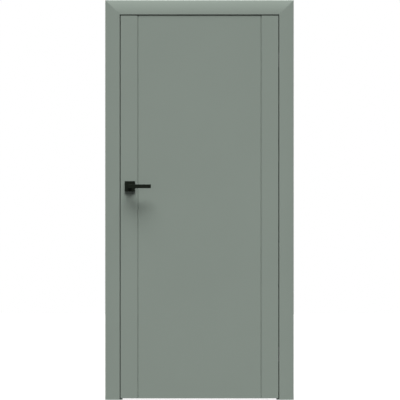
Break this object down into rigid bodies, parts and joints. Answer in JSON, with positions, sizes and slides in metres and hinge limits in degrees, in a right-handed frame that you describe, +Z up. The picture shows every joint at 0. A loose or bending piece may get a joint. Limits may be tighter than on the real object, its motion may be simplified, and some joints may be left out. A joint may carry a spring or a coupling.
{
  "type": "interior door with frame",
  "caption": "Flat interior door leaf with a set-back middle panel, in a mitred frame with curved casings, concealed hinges, a square-rose lever handle and a magnetic latch.",
  "frame": {"origin": "on the floor, midway between the jambs, at the middle of the leaf's thickness", "axes": "+Z up, +X towards the hinge side, -Y towards the side that the leaf opens to, as in the picture"},
  "size_m": [0.985, 0.16, 2.089],
  "materials": {
    "painted_leaf": "matt sage-green lacquer on board",
    "painted_frame": "matt sage-green lacquer on board",
    "seal": "dull dark rubber",
    "black_handle": "matt black powder coat",
    "steel": "satin nickel",
    "zinc": "satin cast zinc",
    "plastic": "matt black"
  },
  "bodies": {
    "frame": {"lock_jamb": "painted_frame", "hinge_jamb": "painted_frame", "head_jamb": "painted_frame", "front_casing_lock": "painted_frame", "front_casing_hinge": "painted_frame", "front_casing_head": "painted_frame", "back_casing_lock": "painted_frame", "back_casing_hinge": "painted_frame", "back_casing_head": "painted_frame", "seal_lock": "seal", "seal_hinge": "seal", "seal_head": "seal", "corner_screws": "steel", "strike_plate": "steel", "strike_box": "plastic", "strike_magnet": "steel", "strike_screws": "steel", "frame_cup_lower": "zinc", "frame_cup_upper": "zinc", "frame_pin_lower": "steel", "frame_pin_upper": "steel", "frame_hinge_screws": "steel"},
    "leaf": {"lock_stile": "painted_leaf", "hinge_stile": "painted_leaf", "centre_panel": "painted_leaf", "leaf_cup_lower": "zinc", "leaf_cup_upper": "zinc", "leaf_pin_lower": "steel", "leaf_pin_upper": "steel", "leaf_hinge_screws": "steel", "lock_case": "steel", "lock_face_plate": "steel", "face_plate_screws": "steel", "rose_base_front": "zinc", "rose_base_back": "zinc", "rose_cover_front": "black_handle", "rose_cover_back": "black_handle", "rose_bolts": "steel"},
    "handle": {"lever_front": "black_handle", "lever_back": "black_handle", "spindle": "steel", "follower": "steel", "grub_screws": "steel"},
    "latch": {"latch_bolt": "steel"},
    "frame_arms": {"frame_arm_lower": "zinc", "frame_arm_upper": "zinc"},
    "leaf_arms": {"leaf_arm_lower": "zinc", "leaf_arm_upper": "zinc"}
  },
  "joints": [
    {"name": "door_swing", "type": "hinge", "parent": "frame", "child": "leaf", "pos_m": [0.4145, -0.023, 1], "axis": [0, 0, 1], "range_deg": [0, 95]},
    {"name": "lever_turn", "type": "hinge", "parent": "leaf", "child": "handle", "pos_m": [-0.3635, 0, 1.116], "axis": [0, -1, 0], "range_deg": [-45, 0], "stiffness_Nm_per_rad": 1.2, "springref_deg": 22.92},
    {"name": "latch_slide", "type": "slide", "parent": "leaf", "child": "latch", "axis": [-1, 0, 0], "range_m": [0, 0.01], "stiffness_N_per_m": 30, "springref_m": -0.004},
    {"name": "frame_arm_turn", "type": "hinge", "parent": "frame", "child": "frame_arms", "pos_m": [0.4305, 0.003, 1], "axis": [0, 0, 1], "range_deg": [0, 47.5]},
    {"name": "leaf_arm_turn", "type": "hinge", "parent": "leaf", "child": "leaf_arms", "pos_m": [0.3985, 0.003, 1], "axis": [0, 0, -1], "range_deg": [0, 47.5]}
  ],
  "couplings": [
    {"joint": "frame_arm_turn", "follows": "door_swing", "ratio": 0.5},
    {"joint": "leaf_arm_turn", "follows": "door_swing", "ratio": 0.5}
  ]
}
